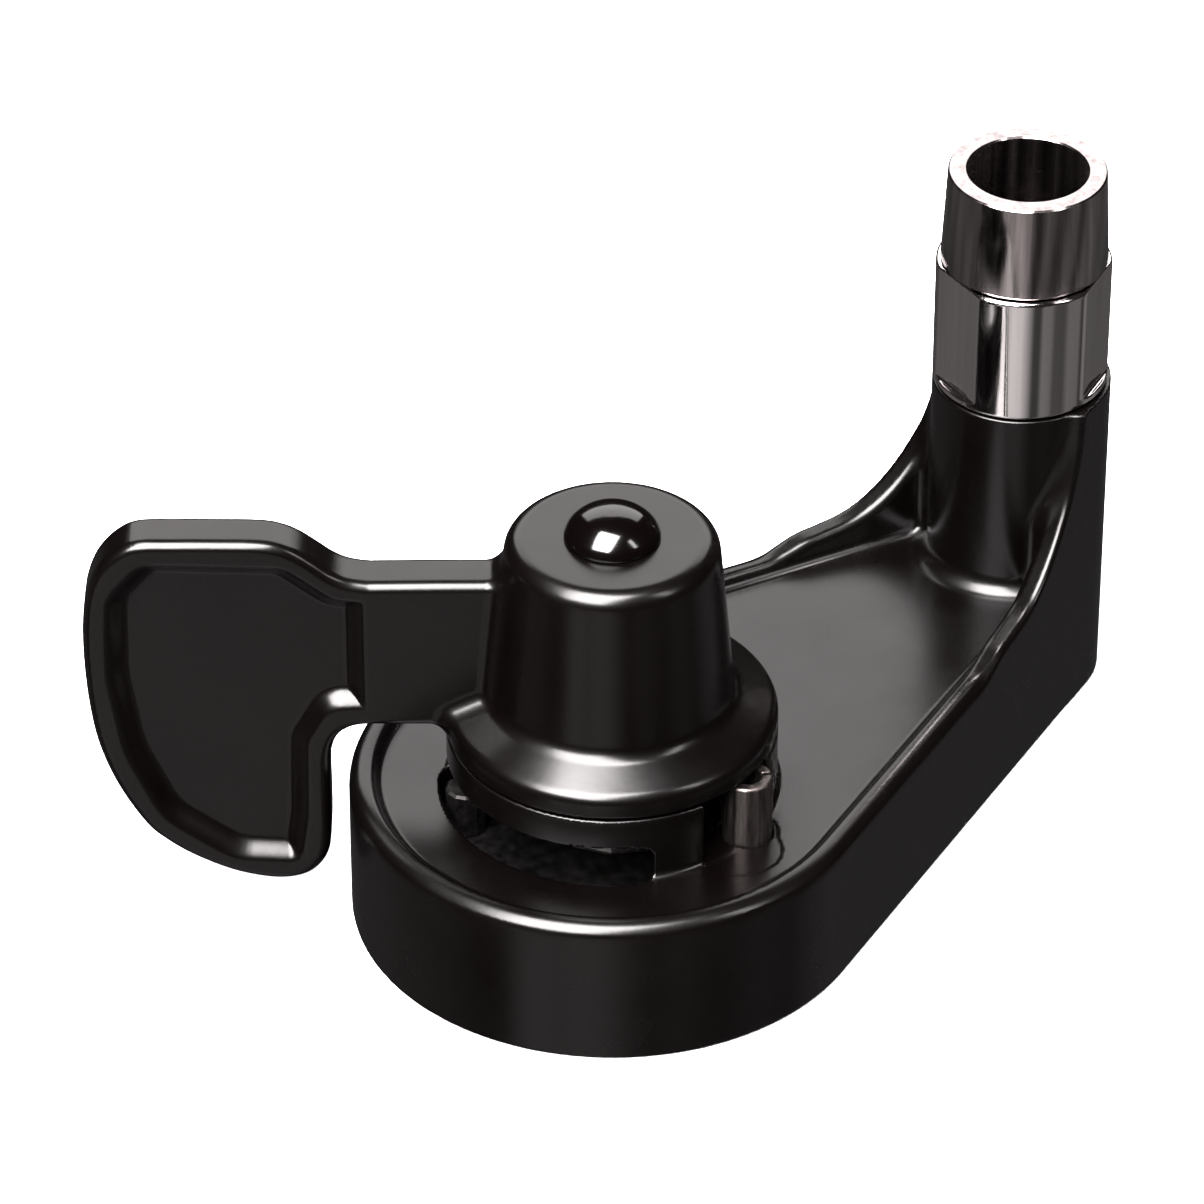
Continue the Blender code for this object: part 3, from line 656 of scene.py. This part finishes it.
# what the polished parts mirror low down round the studio: pale and dark panels, by azimuth
STRIPS = [(0.00, 0.13), (0.060, 0.13), (0.068, 0.03), (0.120, 0.015), (0.135, 0.62), (0.160, 0.85), (0.185, 0.45),
          (0.205, 0.80), (0.240, 0.70), (0.268, 0.30), (0.285, 0.05), (0.306, 0.05), (0.320, 0.20), (0.350, 0.17),
          (0.362, 0.08), (0.400, 0.07), (0.420, 0.16), (0.462, 0.16), (0.474, 0.05), (0.49, 0.05), (0.51, 0.17),
          (0.56, 0.20), (0.60, 0.10), (0.75, 0.06), (0.86, 0.06), (0.92, 0.12), (1.0, 0.13)]
ramp = wnode("ShaderNodeValToRGB")
cr = ramp.color_ramp
cr.elements[0].position, cr.elements[1].position = 0.0, 1.0
for k, (pos, val) in enumerate(STRIPS):
    e = cr.elements[0] if k == 0 else cr.elements[-1] if k == len(STRIPS) - 1 else cr.elements.new(pos)
    e.position = pos
    e.color = (val, val * 0.95, val * 0.95, 1)
wt.links.new(gr.outputs["Fac"], ramp.inputs["Fac"])
sx = wnode("ShaderNodeSeparateXYZ")
wt.links.new(tc.outputs["Generated"], sx.inputs["Vector"])
low = wnode("ShaderNodeMapRange", interpolation_type='SMOOTHSTEP')
low.inputs["From Min"].default_value = -0.10
low.inputs["From Max"].default_value = -0.30
wt.links.new(sx.outputs["Z"], low.inputs["Value"])
gl = wnode("ShaderNodeMix", data_type='RGBA')
gl.inputs["A"].default_value = (0.020, 0.017, 0.017, 1)
wt.links.new(low.outputs["Result"], gl.inputs["Factor"])
wt.links.new(ramp.outputs["Color"], gl.inputs["B"])
mx = wnode("ShaderNodeMix", data_type='RGBA')
mx.inputs["A"].default_value = (1.6, 1.59, 1.58, 1)
wt.links.new(gl.outputs["Result"], mx.inputs["B"])
wt.links.new(lp.outputs["Is Glossy Ray"], mx.inputs["Factor"])
wt.links.new(mx.outputs["Result"], bg.inputs["Color"])
bg.inputs["Strength"].default_value = 1.0


def softbox(name, az_deg, el_deg, dist, w, h, power, look=(0.03, 0.0, 0.06), colour=(1, 0.97, 0.96)):
    """An area light seen from the object at an angle round the camera's own direction: 0 is the
    camera's right, 90 straight behind the object, 270 beside the camera."""
    a = math.radians(az_deg)
    d = (U * math.cos(a) + Vw * math.sin(a)) * math.cos(math.radians(el_deg)) + Vector((0, 0, math.sin(math.radians(el_deg))))
    li = bpy.data.lights.new(name, 'AREA')
    li.shape = 'RECTANGLE'
    li.size, li.size_y = w, h
    li.energy = power
    li.color = colour
    ob = bpy.data.objects.new(name, li)
    bpy.context.scene.collection.objects.link(ob)
    at = Vector(look)
    ob.location = at + d * dist
    ob.rotation_euler = (at - ob.location).to_track_quat('-Z', 'Y').to_euler()
    return ob


softbox("key", 240, 58, 1.25, 0.85, 1.25, 165)
softbox("back_card", 90, 36, 1.7, 1.9, 0.85, 19)
softbox("side_strip", 330, 42, 1.4, 0.16, 0.6, 5)

bpy.context.scene.view_settings.view_transform = 'Standard'
